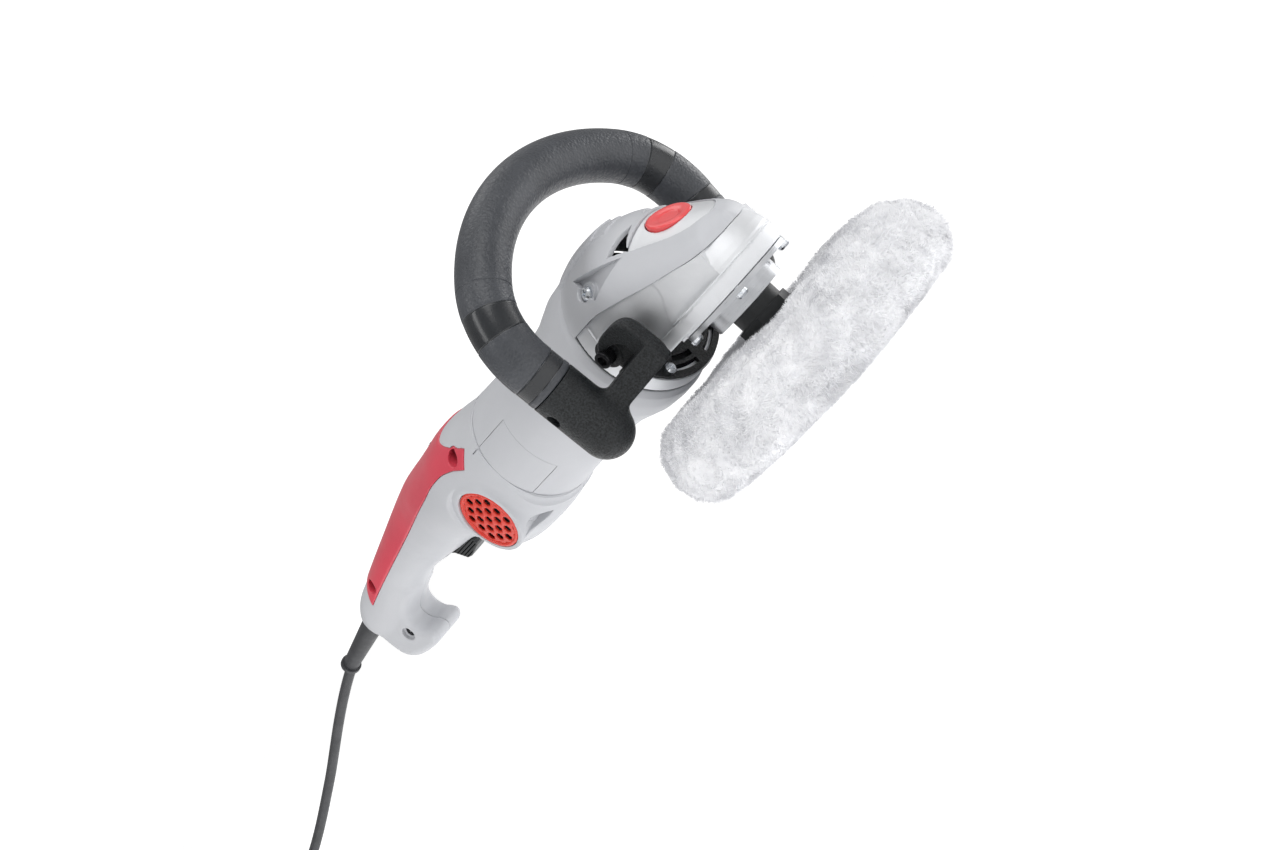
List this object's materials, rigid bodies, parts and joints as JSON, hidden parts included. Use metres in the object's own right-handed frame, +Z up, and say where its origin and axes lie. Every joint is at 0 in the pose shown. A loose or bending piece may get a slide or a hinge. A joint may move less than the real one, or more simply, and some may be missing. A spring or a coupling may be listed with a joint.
{
  "type": "rotary polisher",
  "caption": "Corded rotary polisher with a D-shaped front handle, pistol-style rear grip with trigger, right-angle gear head and a round wool bonnet.",
  "frame": {"origin": "on the spindle axis at the flat working face of the wool bonnet, which the tool rests on", "axes": "+Z up along the spindle, +X out of the gear head's nose, away from the rear grip; +Y is the tool's left side"},
  "size_m": [0.9694, 0.2875, 0.1992],
  "materials": {
    "cast_aluminium": "fine brushed casting",
    "grey_plastic": "fine spark texture",
    "black_plastic": "satin",
    "red_plastic": "satin gloss",
    "black_rubber": "leather grain",
    "cord_rubber": "smooth matte",
    "zinc_screw": "bright zinc",
    "black_oxide_steel": "black oxide",
    "bearing_steel": "ground",
    "laminated_steel": "stacked laminations",
    "copper": "enamelled wire",
    "brass": "satin",
    "carbon": "matt graphite",
    "circuit_board": "solder mask",
    "wool": "deep pile"
  },
  "bodies": {
    "root": {"gear_case": "cast_aluminium", "bearing_cover": "cast_aluminium", "gear_cover": "grey_plastic", "exhaust_plate": "black_plastic", "gasket": "black_rubber", "motor_housing": "grey_plastic", "rear_shell_right": "grey_plastic", "rear_shell_left": "grey_plastic", "grip_overlay_right": "red_plastic", "grip_overlay_left": "red_plastic", "intake_grille_right": "red_plastic", "intake_grille_left": "red_plastic", "brush_cover_right": "grey_plastic", "brush_cover_left": "grey_plastic", "d_handle_frame": "black_plastic", "d_handle_grip": "black_rubber", "d_handle_bolts": "black_oxide_steel", "flange_screws": "zinc_screw", "cover_screws": "zinc_screw", "plate_screw": "zinc_screw", "shell_screws": "zinc_screw", "stator_core": "laminated_steel", "field_coils": "copper", "brush_holders": "brass", "carbon_brushes": "carbon", "switch_block": "black_plastic", "speed_module": "circuit_board", "lock_bushing": "brass", "front_bearing": "bearing_steel", "rear_bearing": "bearing_steel", "lower_spindle_bearing": "bearing_steel", "upper_spindle_bearing": "bearing_steel", "lock_spring": "bearing_steel", "trigger_pin": "bearing_steel", "trigger_spring": "bearing_steel", "lock_on_spring": "bearing_steel", "cord_boot": "cord_rubber", "cord": "cord_rubber", "cord_coil": "cord_rubber", "cord_tie": "black_plastic", "plug": "cord_rubber", "plug_pins": "brass"},
    "spindle_set": {"spindle": "bearing_steel", "ring_gear": "bearing_steel", "backing_pad": "black_rubber", "pad_nut": "black_plastic", "wool_bonnet": "wool"},
    "armature": {"armature_shaft": "bearing_steel", "pinion": "bearing_steel", "fan": "black_plastic", "armature_core": "laminated_steel", "commutator": "copper"},
    "spindle_lock": {"lock_button": "red_plastic", "lock_pin": "bearing_steel"},
    "trigger_lever": {"trigger": "black_plastic"},
    "lock_on": {"lock_on_button": "black_plastic"},
    "dial": {"speed_dial": "black_plastic"}
  },
  "joints": [
    {"name": "spindle_spin", "type": "hinge", "parent": "root", "child": "spindle_set", "pos_m": [0, 0, 0.07], "axis": [0, 0, 1], "continuous": true},
    {"name": "armature_spin", "type": "hinge", "parent": "root", "child": "armature", "pos_m": [-0.12, 0, 0.0935], "axis": [1, 0, 0], "continuous": true},
    {"name": "lock_press", "type": "slide", "parent": "root", "child": "spindle_lock", "axis": [-0.515, 0, -0.8572], "range_m": [0, 0.003], "stiffness_N_per_m": 900, "springref_m": -0.001, "deforming": ["lock_spring"]},
    {"name": "trigger_pull", "type": "hinge", "parent": "root", "child": "trigger_lever", "pos_m": [-0.294, 0, 0.088], "axis": [0, 1, 0], "range_deg": [0, 10], "stiffness_Nm_per_rad": 0.5, "springref_deg": -5.73, "deforming": ["trigger_spring"]},
    {"name": "lock_on_press", "type": "slide", "parent": "root", "child": "lock_on", "axis": [0, -1, 0], "range_m": [0, 0.0015], "stiffness_N_per_m": 600, "springref_m": -0.001, "deforming": ["lock_on_spring"]},
    {"name": "dial_turn", "type": "hinge", "parent": "root", "child": "dial", "pos_m": [-0.253, 0, 0.1266], "axis": [0, 1, 0], "range_deg": [0, 270]}
  ],
  "couplings": [
    {"joint": "armature_spin", "follows": "spindle_spin", "ratio": -4}
  ]
}
